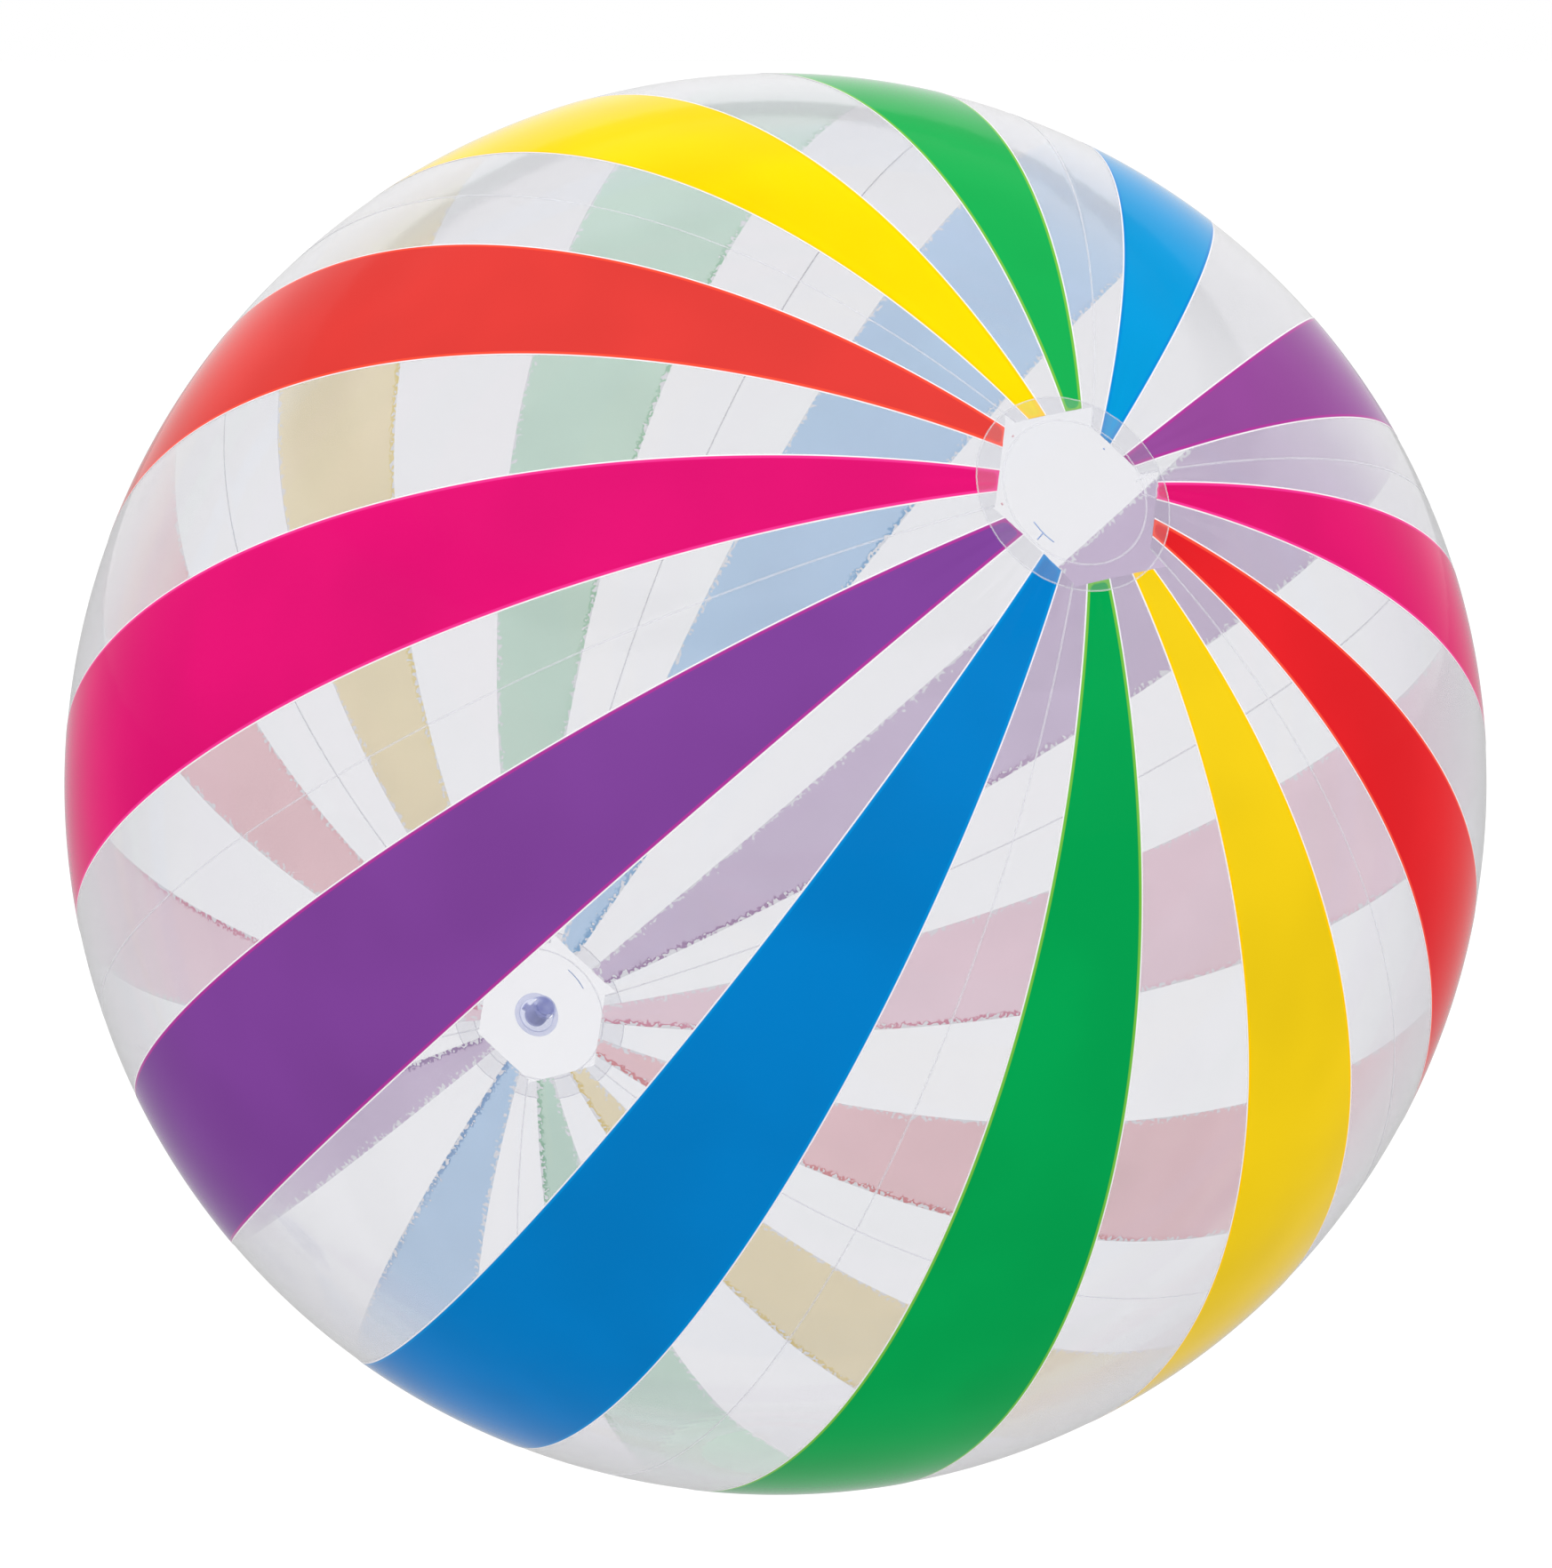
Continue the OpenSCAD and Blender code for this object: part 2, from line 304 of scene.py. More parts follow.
def ink_front(number, colour, code):
    """Solvent screen ink over a white layer: dense, slightly cloudy, white then overlapped at its edges."""
    m, t = new_material(f"solvent_screen_ink_{number:02d}_{colour}")
    where = add(t, "ShaderNodeTexCoord").outputs["Object"]
    edge = add(t, "ShaderNodeAttribute", attribute_name="edge_mm").outputs["Fac"]
    under_cap = add(t, "ShaderNodeAttribute", attribute_name="under_cap_mm").outputs["Fac"]
    cloud = add(t, "ShaderNodeTexNoise", {"Vector": where, "Scale": 1 / INK_CLOUD, "Detail": 2.0})
    shade = add(
        t, "ShaderNodeMapRange",
        {"Value": cloud.outputs["Fac"], "From Min": 0.3, "From Max": 0.7, "To Min": 0.95, "To Max": 1.05},
        **SOFT,
    )
    base = add(
        t, "ShaderNodeVectorMath", {0: linear(code)[:3], "Scale": shade.outputs["Result"]}, operation="SCALE"
    )
    in_trap = add(
        t, "ShaderNodeMapRange",
        {"Value": edge, "From Min": EDGE_TRAP[0], "From Max": EDGE_TRAP[1], "To Min": 1.0, "To Max": 0.0},
        **SOFT,
    )
    trapped = add(
        t, "ShaderNodeMix", {0: in_trap.outputs["Result"], 6: base.outputs[0], 7: linear(TRAP[colour])},
        data_type="RGBA",
    )
    veil = add(
        t, "ShaderNodeMapRange",
        {"Value": under_cap, "From Min": -0.2, "From Max": 0.2, "To Min": 0.0, "To Max": CAP_VEIL},
        **SOFT,
    )
    veiled = add(
        t, "ShaderNodeMix", {0: veil.outputs["Result"], 6: trapped.outputs[2], 7: linear("FFFFFF")},
        data_type="RGBA",
    )
    in_white = add(
        t, "ShaderNodeMapRange",
        {"Value": edge, "From Min": EDGE_WHITE[0], "From Max": EDGE_WHITE[1], "To Min": 1.0, "To Max": 0.0},
        **SOFT,
    )
    printed = add(
        t, "ShaderNodeMix", {0: in_white.outputs["Result"], 6: veiled.outputs[2], 7: linear(BARE_WHITE)},
        data_type="RGBA",
    )
    body = add(
        t, "ShaderNodeBsdfPrincipled",
        {"Base Color": printed.outputs[2], "Roughness": 0.5, "Specular IOR Level": 0.0},
    )
    ripple = add(t, "ShaderNodeTexNoise", {"Vector": where, "Scale": 1 / FILM_RIPPLE, "Detail": 3.0})
    bump = add(t, "ShaderNodeBump", {"Strength": 0.5, "Distance": 0.35 * MM, "Height": ripple.outputs["Fac"]})
    gloss = add(
        t, "ShaderNodeBsdfGlossy",
        {"Color": linear("FFFFFF"), "Roughness": 0.06, "Normal": bump.outputs["Normal"]},
    )
    mirrored = glancing(t, head_on=0.003, power=8.5)[1]
    skin_shader = add(t, "ShaderNodeMixShader", {0: mirrored, 1: body.outputs[0], 2: gloss.outputs[0]})
    add(t, "ShaderNodeOutputMaterial", {"Surface": skin_shader.outputs[0]})
    return m


TEAR = 2.4 * MM  # the tear of the white layer's edge over a coarse screen mesh, drawn at its real size
TEAR_SWING = (15.0, -7.2)  # mm: the edge moves by the first times a noise of 0 to 1, plus the second
BARE_LINE = (2.6, 3.4)  # mm from a stripe's first side where its line of bare ink ends
LAYER_CLOUD = 60 * MM  # across a cloud of the white layer
BARE_CLOUD = 160 * MM  # across a strong or a weak part of the line of bare ink
THROUGH_PRINT = 0.8  # the share of the layer's light that comes through the print from outside


def ink_back(number, colour, code):
    """The white layer seen from inside: pale, lit mostly through the print, with torn-looking edges.

    Each edge is moved in and out by a noise, which also bares a line of the ink itself along the first side.
    """
    m, t = new_material(f"white_screen_ink_{number:02d}_{colour}")
    where = add(t, "ShaderNodeTexCoord").outputs["Object"]
    edge = add(t, "ShaderNodeAttribute", attribute_name="edge_mm").outputs["Fac"]
    side = add(t, "ShaderNodeAttribute", attribute_name="side_mm").outputs["Fac"]
    cloud = add(t, "ShaderNodeTexNoise", {"Vector": where, "Scale": 1 / LAYER_CLOUD, "Detail": 3.0})
    shade = add(
        t, "ShaderNodeMapRange",
        {"Value": cloud.outputs["Fac"], "From Min": 0.3, "From Max": 0.7, "To Min": 0.96, "To Max": 1.02},
        **SOFT,
    )
    base = add(
        t, "ShaderNodeVectorMath", {0: linear(UNDERPRINT[colour])[:3], "Scale": shade.outputs["Result"]},
        operation="SCALE",
    )
    wobble = add(t, "ShaderNodeTexNoise", {"Vector": where, "Scale": 1 / TEAR, "Detail": 1.0})
    shift = add(
        t, "ShaderNodeMath", {0: wobble.outputs["Fac"], 1: TEAR_SWING[0], 2: TEAR_SWING[1]},
        operation="MULTIPLY_ADD",
    )
    torn_edge = add(t, "ShaderNodeMath", {0: edge, 1: shift.outputs[0]}, operation="ADD")
    torn_side = add(t, "ShaderNodeMath", {0: shift.outputs[0], 1: 0.5, 2: side}, operation="MULTIPLY_ADD")
    slow = add(t, "ShaderNodeTexNoise", {"Vector": where, "Scale": 1 / BARE_CLOUD, "Detail": 1.0})
    bare = add(
        t, "ShaderNodeMapRange",
        {
            "Value": torn_side.outputs[0],
            "From Min": BARE_LINE[0], "From Max": BARE_LINE[1], "To Min": 1.0, "To Max": 0.0,
        },
        **SOFT,
    )
    how_bare = add(
        t, "ShaderNodeMapRange",
        {"Value": slow.outputs["Fac"], "From Min": 0.42, "From Max": 0.6, "To Min": 0.1, "To Max": 0.6},
        **SOFT,
    )
    strength = add(
        t, "ShaderNodeMath", {0: bare.outputs["Result"], 1: how_bare.outputs["Result"]}, operation="MULTIPLY"
    )
    lined = add(
        t, "ShaderNodeMix", {0: strength.outputs[0], 6: base.outputs[0], 7: linear(code)}, data_type="RGBA"
    )
    torn = add(
        t, "ShaderNodeMapRange",
        {"Value": torn_edge.outputs[0], "From Min": 0.9, "From Max": 1.3, "To Min": 1.0, "To Max": 0.0},
        **SOFT,
    )
    printed = add(
        t, "ShaderNodeMix", {0: torn.outputs["Result"], 6: lined.outputs[2], 7: linear("F4F4F7")},
        data_type="RGBA",
    )
    lit = add(
        t, "ShaderNodeBsdfPrincipled",
        {"Base Color": printed.outputs[2], "Roughness": 0.6, "Specular IOR Level": 0.0},
    )
    lit_through = add(t, "ShaderNodeBsdfTranslucent", {"Color": printed.outputs[2]})
    both = add(t, "ShaderNodeMixShader", {0: THROUGH_PRINT, 1: lit.outputs[0], 2: lit_through.outputs[0]})
    add(t, "ShaderNodeOutputMaterial", {"Surface": both.outputs[0]})
    return m


VINYL_CLOUD, STAMP_PATCH = 4 * MM, 2 * MM  # across a cloud in moulded PVC, and a patch in a stamped mark


def soft_vinyl(name, dark, light, solid):
    """Soft moulded PVC: clouds of two close tints, see-through but for the share solid, with a satin skin."""
    m, t = new_material(name)
    where = add(t, "ShaderNodeTexCoord").outputs["Object"]
    cloud = add(t, "ShaderNodeTexNoise", {"Vector": where, "Scale": 1 / VINYL_CLOUD, "Detail": 3.0})
    bump = add(t, "ShaderNodeBump", {"Strength": 0.3, "Distance": 0.1 * MM, "Height": cloud.outputs["Fac"]})
    shade = add(
        t, "ShaderNodeMapRange", {"Value": cloud.outputs["Fac"], "From Min": 0.3, "From Max": 0.7}, **SOFT
    )
    base = add(
        t, "ShaderNodeMix", {0: shade.outputs["Result"], 6: linear(dark), 7: linear(light)}, data_type="RGBA"
    )
    body = add(
        t, "ShaderNodeBsdfPrincipled",
        {"Base Color": base.outputs[2], "Roughness": 0.32, "Normal": bump.outputs["Normal"]},
    )
    through = add(t, "ShaderNodeBsdfTransparent", {"Color": linear("EEF0FA")})
    mixed = add(t, "ShaderNodeMixShader", {0: solid, 1: through.outputs[0], 2: body.outputs[0]})
    add(t, "ShaderNodeOutputMaterial", {"Surface": mixed.outputs[0]})
    return m


def mark_ink(name, dark, light):
    """Thin ink straight on the film, patchy between two tints."""
    m, t = new_material(name)
    where = add(t, "ShaderNodeTexCoord").outputs["Object"]
    patchy = add(t, "ShaderNodeTexNoise", {"Vector": where, "Scale": 1 / STAMP_PATCH, "Detail": 2.0})
    base = add(
        t, "ShaderNodeMix", {0: patchy.outputs["Fac"], 6: linear(dark), 7: linear(light)}, data_type="RGBA"
    )
    body = add(t, "ShaderNodeBsdfPrincipled", {"Base Color": base.outputs[2], "Roughness": 0.5})
    add(t, "ShaderNodeOutputMaterial", {"Surface": body.outputs[0]})
    return m


# Calendered clear PVC, 0.3 mm: nearly water clear seen square, a grey veil and a soft gloss towards the rim.
film = clear_film(
    "calendered_clear_PVC_film", "F6F6F7", "E2E1E6",
    haze=0.015, rim_haze=0.35, rough=0.05, grain_mm=30, depth_mm=0.08,
)
# The same sheet die-cut to a disc: a trace clearer, and rippled finer by the weld round it.
cap_film = clear_film(
    "die_cut_clear_PVC_film", "F9F9FA", "E2E1E6",
    haze=0.01, rim_haze=0.3, rough=0.05, grain_mm=12, depth_mm=0.1, head_on=0.01,
)
# A knife-cut edge of that sheet: too thin to mirror anything, so only a trace of haze.
cut_edge = clear_film(
    "knife_cut_PVC_film_edge", "FCFCFD", "F0F0F2",
    haze=0.03, rim_haze=0.05, rough=0.3, grain_mm=3, depth_mm=0.05, head_on=0.0, power=60.0,
)
# Film fused under a hot bar: a faintly milky line with no clear gloss.
weld = clear_film(
    "heat_welded_PVC_film", "F4F4F6", "F4F4F6",
    haze=0.22, rim_haze=0.3, rough=0.3, grain_mm=2.5, depth_mm=0.1, head_on=0.0, power=60.0,
)
# Solvent PVC inks screened over a white layer: full flat colours under the gloss of the film.
fronts = [ink_front(k + 1, *s) for k, s in enumerate(STRIPES)]
# That white layer from behind: milky pastels with a coarse torn edge.
backs = [ink_back(k + 1, *s) for k, s in enumerate(STRIPES)]
# Injection-moulded soft PVC, dyed violet blue: a dull translucent glow with satin highlights.
vinyl = soft_vinyl("moulded_soft_PVC_violet", "8C93CE", "AEB4E0", solid=0.42)
# The same moulding where it is thin and welded to the film: almost clear, with a breath of violet.
pale_vinyl = soft_vinyl("moulded_soft_PVC_thin", "D2D3E8", "E2E2F0", solid=0.13)
# Register ink, stamped thin on the cap: a pale patchy line.
mark = mark_ink("stamped_ink_blue", "5F7FB8", "9DB0D6")
# The same kind of ink in a dull red: pale dots that hardly show.
dot_ink = mark_ink("stamped_ink_red", "B98A94", "D2B0B8")

# ---- gores and stripes ----


ROW_PACKING = 0.31  # rows of a panel lie by the sine over this share of a half turn to either side
END_SPARE = 1.0  # mm added to the distance from a panel's straight ends, so that they show less bare white


def panel(gore_no, from_az, width, cols, rows, lift):
    """A patch of skin between two meridians of one gore, whose two ends are cut straight across the gore.

    The cut at a distance d from the pole meets azimuth a at the colatitude whose tangent is tan d over the
    cosine of a's angle from the gore's middle. Rows are packed closer near the poles. Also gives, at each
    point, the distance to the nearest edge, the distance from the first side, and how far it is under a cap,
    in millimetres.
    """
    az = np.linspace(from_az, from_az + width, cols)[None, :]
    middle = FIRST_SEAM - GORE_W * (gore_no + 0.5)
    slant = np.cos((az - middle) * RAD)
    near = 90 - np.degrees(np.arctan(math.tan(NEAR_CUTS[gore_no] * RAD) / slant))
    far = 90 - np.degrees(np.arctan(math.tan(FAR_CUTS[gore_no] * RAD) / slant))
    packing = ROW_PACKING * math.pi
    s = (np.sin(np.linspace(-1, 1, rows) * packing) / math.sin(packing))[:, None]
    lat = np.where(s > 0, s * near, s * far)
    points = skin(lat, az, lift)
    across = (az - from_az) * RAD * BALL_R * np.cos(lat * RAD) / MM
    whole = width * RAD * BALL_R * np.cos(lat * RAD) / MM
    along = np.minimum(near - lat, far + lat) * RAD * BALL_R / MM + END_SPARE
    edge = np.minimum(np.minimum(across, whole - across), along)
    under = np.max([(CAP_RIM[k] - cap_angle(lat, az, k)) for k in (1, -1)], axis=0) * RAD * BALL_R / MM
    return points, edge, across, under


def cap_angle(lat, az, sign):
    """Degrees between a point and a cap's middle, by the spherical law of cosines from the pole."""
    shift, towards = CAP_SHIFT[sign]
    c, a = (90 - sign * lat) * RAD, az * RAD
    s, b = shift * RAD, towards * RAD
    cosine = np.cos(c) * math.cos(s) + np.sin(c) * math.sin(s) * np.cos(a - b)
    return np.degrees(np.arccos(np.clip(cosine, -1, 1)))


GORE_COLS, GORE_ROWS = 61, 181
STRIPE_COLS, STRIPE_ROWS = 41, 241
SEAM_POINTS = 221

for i in range(GORES):
    start = FIRST_SEAM - GORE_W * (i + 1)
    points = panel(i, start, GORE_W, GORE_COLS, GORE_ROWS, 0.0)[0]
    gore = new_piece(f"gore_film_{i + 1}", points, grid_faces(GORE_ROWS, GORE_COLS), [film, cut_edge])
    thicken(gore, FILM_T, 0, 1)
    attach(gore, "ball")
    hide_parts(f"gore_{i + 1}")

for k, (colour, code) in enumerate(STRIPES):
    gore_no, second = divmod(k, 2)
    start = FIRST_SEAM - GORE_W * (gore_no + 1) + HALF_GAP + (1 - second) * (STRIPE_W + 2 * HALF_GAP)
    points, edge, side, under = panel(gore_no, start, STRIPE_W, STRIPE_COLS, STRIPE_ROWS, PRINT_GAP + PRINT_T)
    stripe = new_piece(
        f"stripe_print_{k + 1:02d}_{colour}", points, grid_faces(STRIPE_ROWS, STRIPE_COLS),
        [fronts[k], backs[k]], {"edge_mm": edge, "side_mm": side, "under_cap_mm": under},
    )
    thicken(stripe, PRINT_T, 1)
    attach(stripe, "ball")
    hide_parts(f"stripe_{k + 1:02d}_{colour}")


# Raised lines of weld: the half width, and the half height as a share of it.
SEAM_BEAD, RIM_BEAD = (0.45 * MM, 0.25), (0.35 * MM, 0.5)
INNER_BEAD, PUCKER_BEAD = (0.45 * MM, 0.4), (0.4 * MM, 0.5)
MARK_HALF, DOT_HALF, MARK_FLAT = 0.28 * MM, 0.6 * MM, 0.3  # the same for a printed mark
SEAM_LIFT, MARK_LIFT = 0.05 * MM, 0.03 * MM  # the middle of a seam's bead or of a mark above the film


def bead(name, line, half_width, flat, slot_name, material, closed=False, sides=8):
    """A raised line: an ellipse of that half-width, flattened to flat times it, carried along the points.

    At each point the ellipse lies across the way to the next one, its short axis along the skin's normal.
    """
    ahead = np.roll(line, -1, 0) - np.roll(line, 1, 0)
    if not closed:
        ahead[0], ahead[-1] = line[1] - line[0], line[-1] - line[-2]
    ahead /= np.linalg.norm(ahead, axis=1)[:, None]
    aside = np.cross(ahead, line - CENTRE)
    aside /= np.linalg.norm(aside, axis=1)[:, None]
    lift = np.cross(aside, ahead)
    a = np.linspace(0, 2 * np.pi, sides, endpoint=False)[None, :, None]
    ring = line[:, None] + half_width * (np.cos(a) * aside[:, None] + flat * np.sin(a) * lift[:, None])
    n = len(line)
    faces = grid_faces(n, sides, True)[:, ::-1].tolist()
    j = np.arange(sides)
    k = (j + 1) % sides
    last = (n - 1) * sides
    if closed:
        faces += np.stack([j, k, last + k, last + j], -1).tolist()
    else:
        faces += [j.tolist(), (last + j)[::-1].tolist()]
    piece = new_piece(name, ring, faces, [material])
    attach(piece, "ball")
    return piece


def seam_corner(cut):
    """The latitude where a gore's cut at that distance from the pole meets its seam, half a gore over."""
    return 90 - math.degrees(math.atan(math.tan(cut * RAD) / math.cos(GORE_W / 2 * RAD)))


for i in range(GORES):
    top = max(seam_corner(NEAR_CUTS[i]), seam_corner(NEAR_CUTS[i - 1]))
    bottom = max(seam_corner(FAR_CUTS[i]), seam_corner(FAR_CUTS[i - 1]))
    line = skin(np.linspace(-bottom, top, SEAM_POINTS), FIRST_SEAM - GORE_W * i, SEAM_LIFT)
    bead(f"seam_weld_{i + 1}", line, *SEAM_BEAD, "clear_film", weld)

# ---- end caps ----


def on_cap(sign, angle, turn):
    """Latitude and azimuth of points at an angle from a cap's middle, turned round it, all in degrees.

    A point is cos(angle) of the middle plus sin(angle) of two directions square to it, by cos and sin of
    the turn.
    """
    shift, towards = CAP_SHIFT[sign]
    s, b = shift * RAD, towards * RAD
    middle = np.array([math.sin(s) * math.cos(b), math.sin(s) * math.sin(b), math.cos(s)])
    aside = np.array([math.cos(s) * math.cos(b), math.cos(s) * math.sin(b), -math.sin(s)])
    third = np.cross(middle, aside)
    angle, turn = np.broadcast_arrays(np.asarray(angle, float) * RAD, np.asarray(turn, float) * RAD)
    p = (
        np.cos(angle)[..., None] * middle
        + (np.sin(angle) * np.cos(turn))[..., None] * aside
        + (np.sin(angle) * np.sin(turn))[..., None] * third
    )
    lat = sign * np.degrees(np.arcsin(np.clip(p[..., 2], -1, 1)))
    return lat, np.degrees(np.arctan2(p[..., 1], p[..., 0]))


CAP_RINGS, CAP_STEP, LINE_STEP = 26, 3.0, 2.0  # rings of a cap's disc, and degrees between points round it
FAN_RING = 0.35  # the innermost ring of a closed cap, in degrees


def cap_disc(name, sign, hole, node):
    """A domed disc of film over one pole: rings of the skin's own shape out to the cap's edge.

    The innermost ring is the valve's hole, or a small one closed by a fan of triangles to the middle.
    """
    turn = np.arange(0, 360, CAP_STEP)
    first = math.degrees(hole / BALL_R) if hole else FAN_RING
    angle = np.linspace(first, CAP_RIM[sign], CAP_RINGS)
    points = skin(*on_cap(sign, angle[:, None], turn[None, :]), CAP_LIFT).reshape(-1, 3)
    faces = [list(f)[:: -sign] for f in grid_faces(len(angle), len(turn), True).tolist()]
    if not hole:
        points = np.vstack([points, skin(*on_cap(sign, [0.0], [0.0]), CAP_LIFT)])
        j = np.arange(len(turn))
        fan = np.stack([j, (j + 1) % len(turn), np.full_like(j, len(points) - 1)], -1).tolist()
        faces += [f[::sign] for f in fan]
    disc = new_piece(name, points, faces, [cap_film, cut_edge])
    thicken(disc, FILM_T, 0, 1)
    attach(disc, "ball")
    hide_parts(node)
    round_turn = np.arange(0, 360, LINE_STEP)
    rim = skin(*on_cap(sign, CAP_RIM[sign] - RIM_INSET, round_turn), CAP_LIFT)
    bead(f"{name}_rim", rim, *RIM_BEAD, "clear_film", weld, closed=True)
    inner = skin(*on_cap(sign, CAP_RIM[sign] - WELD_INSET, round_turn), CAP_LIFT)
    bead(f"{name}_inner_weld", inner, *INNER_BEAD, "clear_film", weld, closed=True)


cap_disc("plain_cap_film", 1, 0, "plain_cap")
cap_disc("valve_cap_film", -1, CAP_HOLE_R, "valve_cap")


def mark_line(name, ends, slot_name="print_blue", material=mark, half_width=MARK_HALF):
    """A short printed line on a cap: straight in latitude and azimuth between its two ends."""
    (lat0, az0), (lat1, az1) = ends
    s = np.linspace(0, 1, 9)
    line = skin(lat0 + (lat1 - lat0) * s, az0 + (az1 - az0) * s, CAP_LIFT + MARK_LIFT)
    bead(name, line, half_width, MARK_FLAT, slot_name, material)


mark_line("register_mark_bar", [(84.41, 297.3), (84.32, 317.9)])
mark_line("register_mark_stem", [(84.41, 307.8), (83.64, 307.9)])
mark_line("register_mark_far", [(-84.41, 134.4), (-84.56, 111.1)])
mark_line("register_dot_1", [(83.78, 228.9), (83.66, 228.9)], "print_red", dot_ink, DOT_HALF)
mark_line("register_dot_2", [(83.0, 278.0), (82.88, 278.0)], "print_red", dot_ink, DOT_HALF)
mark_line("register_dot_3", [(86.61, 140.6), (86.5, 140.6)], half_width=0.45 * MM)


def crinkle(name, lat, az, radius, first, last):
    """An arc of puckered weld: part of a circle round a point, its radius in degrees waved by a sine."""
    turn = np.linspace(first, last, 60) * RAD
    r = radius * (1 + 0.12 * np.sin(5 * turn))
    line = skin(lat + r * np.cos(turn), az + r * np.sin(turn) / math.cos(lat * RAD), CAP_LIFT)
    bead(name, line, *PUCKER_BEAD, "clear_film", weld)


crinkle("cap_pucker_1", 85.0, 86.0, 0.85, 20, 330)
crinkle("cap_pucker_2", 84.6, 92.0, 0.55, -60, 200)

# ---- valve ----

swing = np.array(joints["plug_swing"]["axis"], float)
valve_y = -swing / np.linalg.norm(swing)
valve_x = np.cross(valve_y, out_axis)
MOUTH_OUT = 1.36 * MM  # the valve's mouth above the film's outside
valve_origin = CENTRE + (BALL_R + MOUTH_OUT) * out_axis
NECK_RIM_R, NECK_FOOT_R, NECK_L, NECK_T = 9.5 * MM, 6.4 * MM, 13 * MM, 0.4 * MM


def valve_point(r, turn, z):
    """A point at radius r, turned by cos and sin from the valve's x axis, and z out of its mouth."""
    r, turn, z = np.broadcast_arrays(r, turn, z)
    return (
        valve_origin
        + (r * np.cos(turn))[..., None] * valve_x
        + (r * np.sin(turn))[..., None] * valve_y
        + z[..., None] * out_axis
    )


# The neck is a thin funnel: its radius runs from the rim's to the foot's with a sine added, so it bellies.
NECK_ROWS, NECK_COLS, NECK_TOP = 15, 72, 0.1 * MM
NECK_BELLY = 0.12  # the share of that sine
down = np.linspace(0, 1, NECK_ROWS)[:, None]
turn = np.linspace(0, 2 * np.pi, NECK_COLS, endpoint=False)[None, :]
belly = NECK_BELLY * np.sin(2 * np.pi * down) / (2 * np.pi)
neck_r = NECK_RIM_R + (NECK_FOOT_R - NECK_RIM_R) * (down + belly)
neck_points = valve_point(neck_r, turn, -NECK_TOP - (NECK_L - NECK_TOP) * down)
neck = new_piece("valve_neck_sleeve", neck_points, grid_faces(NECK_ROWS, NECK_COLS, True), [pale_vinyl])
thicken(neck, NECK_T)
neck_start, neck_end = valve_point(0.0, 0.0, -NECK_TOP).ravel(), valve_point(0.0, 0.0, -NECK_L).ravel()
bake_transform(neck)
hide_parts("valve_neck")

for name in ("valve_flange", "valve_stem", "plug", "plug_strap", "check_flap"):
    for node_slot in frame["nodes"][name].material_slots:
        node_slot.material = pale_vinyl if name == "valve_flange" else vinyl

# ---- stage ----

FLOOR = 40.0  # half its side
# Levels of light, where 1 is white: what the floor sends up, what mirrors show of it, and what the room around
# sends and shows the camera.
FLOOR_SENT, FLOOR_MIRRORED = 0.94, 0.6
ROOM_SENT, ROOM_SEEN = 1.33, 1.0
floor_corners = [(-FLOOR, -FLOOR, 0), (FLOOR, -FLOOR, 0), (FLOOR, FLOOR, 0), (-FLOOR, FLOOR, 0)]
floor_mesh = bpy.data.meshes.new("floor")
floor_mesh.from_pydata(floor_corners, [], [range(4)])
floor = bpy.data.objects.new("floor", floor_mesh)
bpy.context.scene.collection.objects.link(floor)
# Matt white paper: flat and shadowless to the eye. To every other ray it is a painted glow, a little under
# white, in place of the light it would send back up, and dimmer still in reflections.
floor_paper, ft = new_material("matt_white_paper")
floor_path = add(ft, "ShaderNodeLightPath").outputs
sent_up = add(
    ft, "ShaderNodeMapRange",
    {"Value": floor_path["Is Glossy Ray"], "To Min": FLOOR_SENT, "To Max": FLOOR_MIRRORED},
)
paper = add(
    ft, "ShaderNodeBsdfPrincipled",
    {"Base Color": linear("ECECEC"), "Roughness": 0.9, "Specular IOR Level": 0.0},
)
# Painted glow: for every ray but the camera's, the paper shines with this light instead of bouncing light, and
# darker for mirrors.
paper_glow = add(ft, "ShaderNodeEmission", {"Color": linear("FFFFFF"), "Strength": sent_up.outputs["Result"]})
sheet = add(
    ft, "ShaderNodeMixShader", {0: floor_path["Is Camera Ray"], 1: paper_glow.outputs[0], 2: paper.outputs[0]}
)
add(ft, "ShaderNodeOutputMaterial", {"Surface": sheet.outputs[0]})
floor_mesh.materials.append(floor_paper)

scene = bpy.context.scene
world = bpy.data.worlds.new("studio")
scene.world = world
world.use_nodes = True
wt = world.node_tree
wt.nodes.clear()
path = add(wt, "ShaderNodeLightPath")
way = add(wt, "ShaderNodeTexCoord").outputs["Generated"]
up = add(wt, "ShaderNodeSeparateXYZ", {0: way}).outputs["Z"]
# Mirrored light comes from walls that brighten upwards, with one dimmer band high up.
band_up = add(wt, "ShaderNodeMapRange", {"Value": up, "From Min": 0.47, "From Max": 0.53}, **SOFT)
band_down = add(
    wt, "ShaderNodeMapRange",
    {"Value": up, "From Min": 0.57, "From Max": 0.66, "To Min": 1.0, "To Max": 0.0}, **SOFT,
)
band = add(
    wt, "ShaderNodeMath", {0: band_up.outputs["Result"], 1: band_down.outputs["Result"]}, operation="MULTIPLY"
)
walls = add(
    wt, "ShaderNodeMapRange",
    {"Value": up, "From Min": -0.1, "From Max": 0.45, "To Min": 0.8, "To Max": 1.1}, **SOFT,
)
dimmed = add(wt, "ShaderNodeMapRange", {"Value": band.outputs[0], "To Min": 1.0, "To Max": 0.5}, **SOFT)
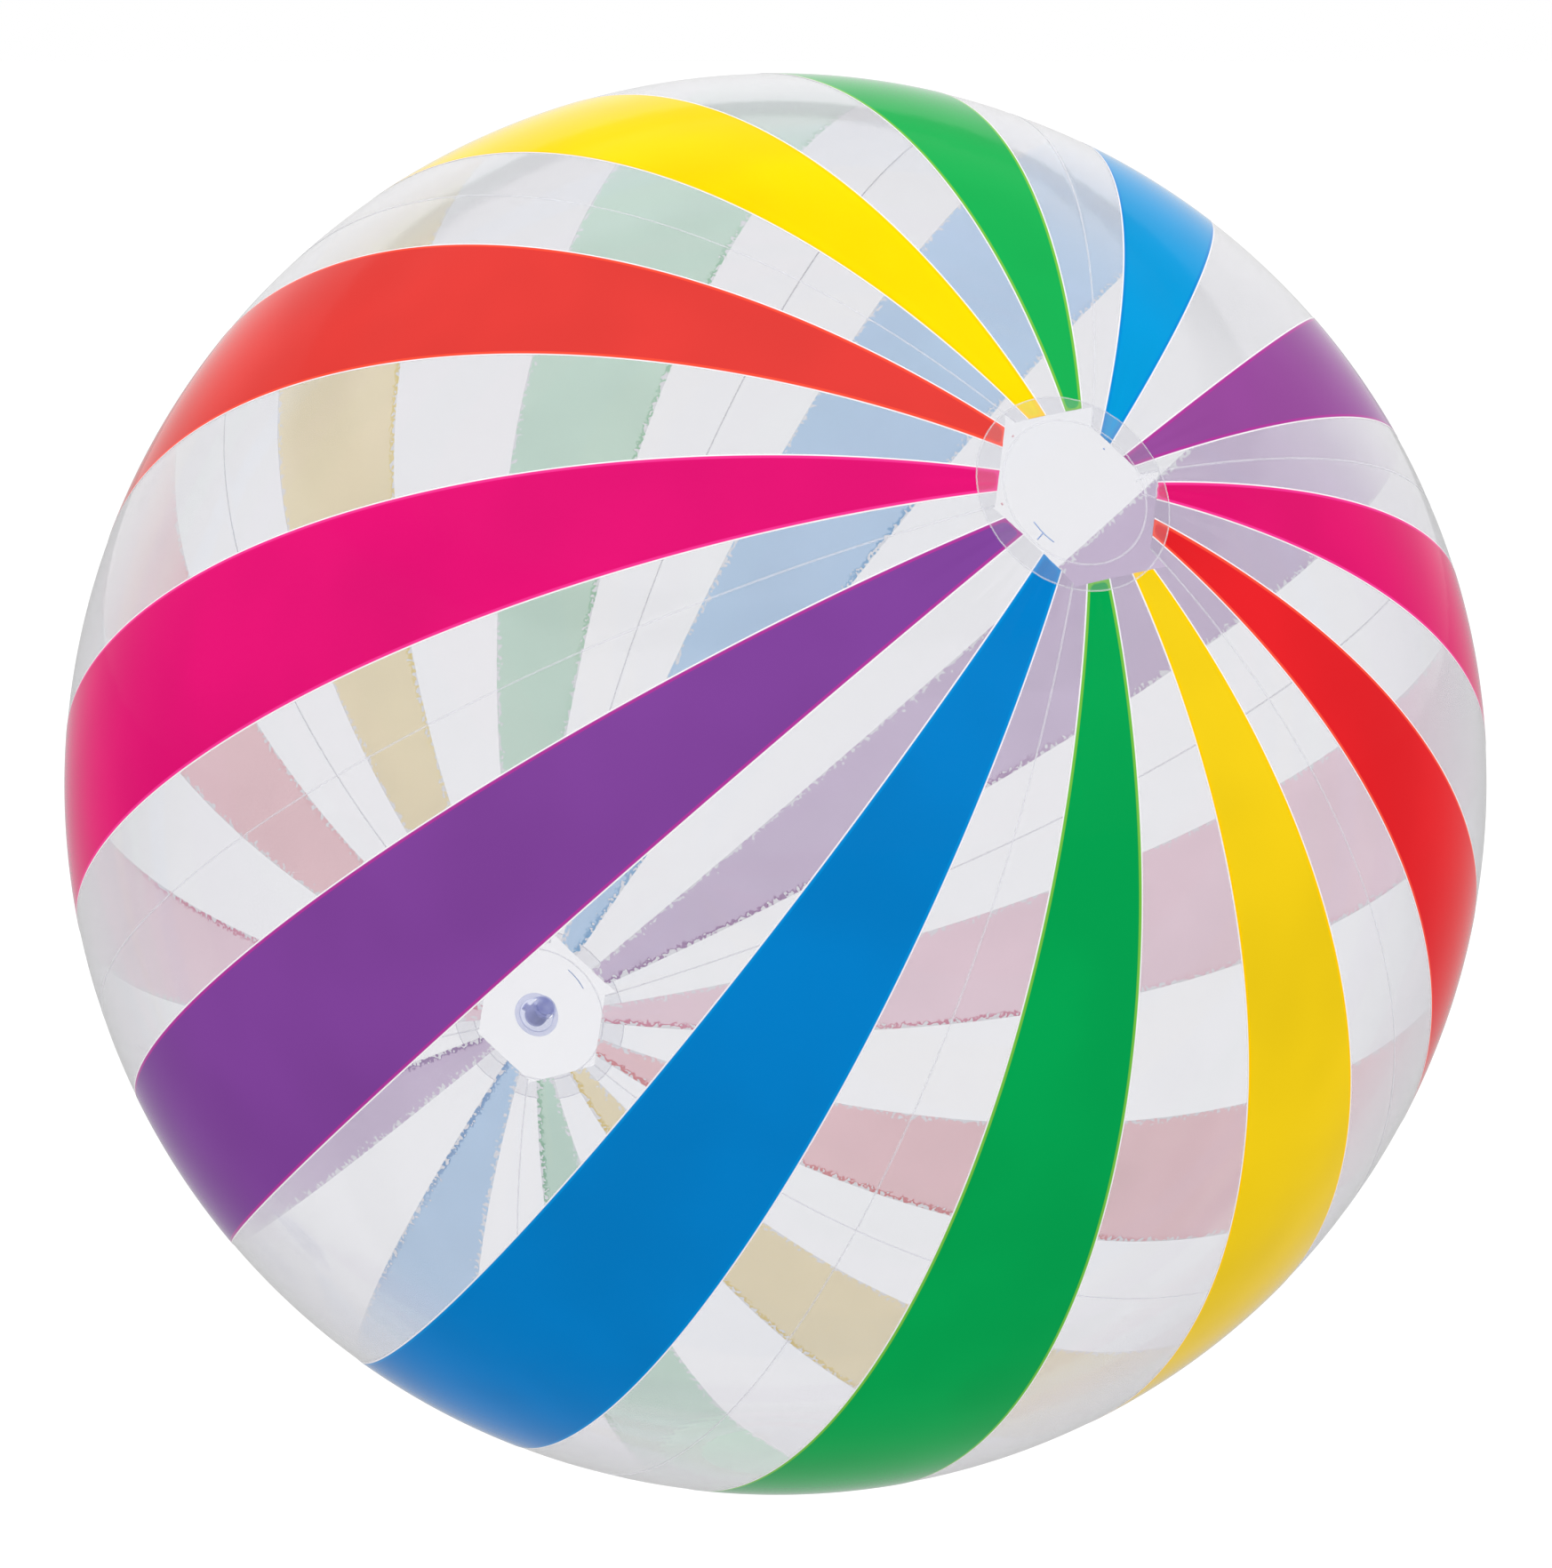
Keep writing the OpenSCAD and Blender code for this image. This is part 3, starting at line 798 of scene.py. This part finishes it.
mirrored_room = add(
    wt, "ShaderNodeMath", {0: walls.outputs["Result"], 1: dimmed.outputs["Result"]}, operation="MULTIPLY"
)
# What the camera sees is plain white, darker than what lights the ball.
seen_room = add(
    wt, "ShaderNodeMapRange",
    {"Value": path.outputs["Is Camera Ray"], "To Min": ROOM_SENT, "To Max": ROOM_SEEN},
)
level = add(
    wt, "ShaderNodeMix",
    {0: path.outputs["Is Glossy Ray"], 2: seen_room.outputs["Result"], 3: mirrored_room.outputs[0]},
    data_type="FLOAT",
)
sky = add(wt, "ShaderNodeBackground", {"Color": linear("FFFFFF"), "Strength": level.outputs[0]})
add(wt, "ShaderNodeOutputWorld", {"Surface": sky.outputs[0]})
world.cycles.sampling_method = "NONE"


def panel_light(name, centre, aim, size, power):
    """A square softbox facing aim, which reflections don't show."""
    centre, aim = Vector(centre), Vector(aim)
    data = bpy.data.lights.new(name, "AREA")
    data.shape, data.size, data.energy = "SQUARE", size, power
    lamp = bpy.data.objects.new(name, data)
    lamp.location = centre
    lamp.rotation_euler = (aim - centre).to_track_quat("-Z", "Y").to_euler()
    lamp.visible_glossy = lamp.visible_camera = False
    scene.collection.objects.link(lamp)


panel_light("softbox_overhead", (-0.6, -0.8, 3.0), (0, 0, 0.1), 2.0, 5)

# ---- camera: in front of the ball and raised by its elevation, looking at the ball's centre ----

ELEVATION, LENS_MM, SENSOR_MM, FAR_CLIP = 10.0, 104.3, 36, 200
DISTANCE = 6.466 * BALL_R
view = np.array([0, -math.cos(ELEVATION * RAD), math.sin(ELEVATION * RAD)])
cam_data = bpy.data.cameras.new("camera")
cam = bpy.data.objects.new("camera", cam_data)
scene.collection.objects.link(cam)
cam_data.lens = LENS_MM
cam_data.sensor_width = SENSOR_MM
cam_data.clip_end = FAR_CLIP
cam.location = CENTRE + DISTANCE * view
cam.rotation_euler = (math.pi / 2 - ELEVATION * RAD, 0, 0)
scene.camera = cam

scene.view_settings.view_transform = "Standard"
scene.view_settings.look = "None"
scene.cycles.transparent_max_bounces = 32
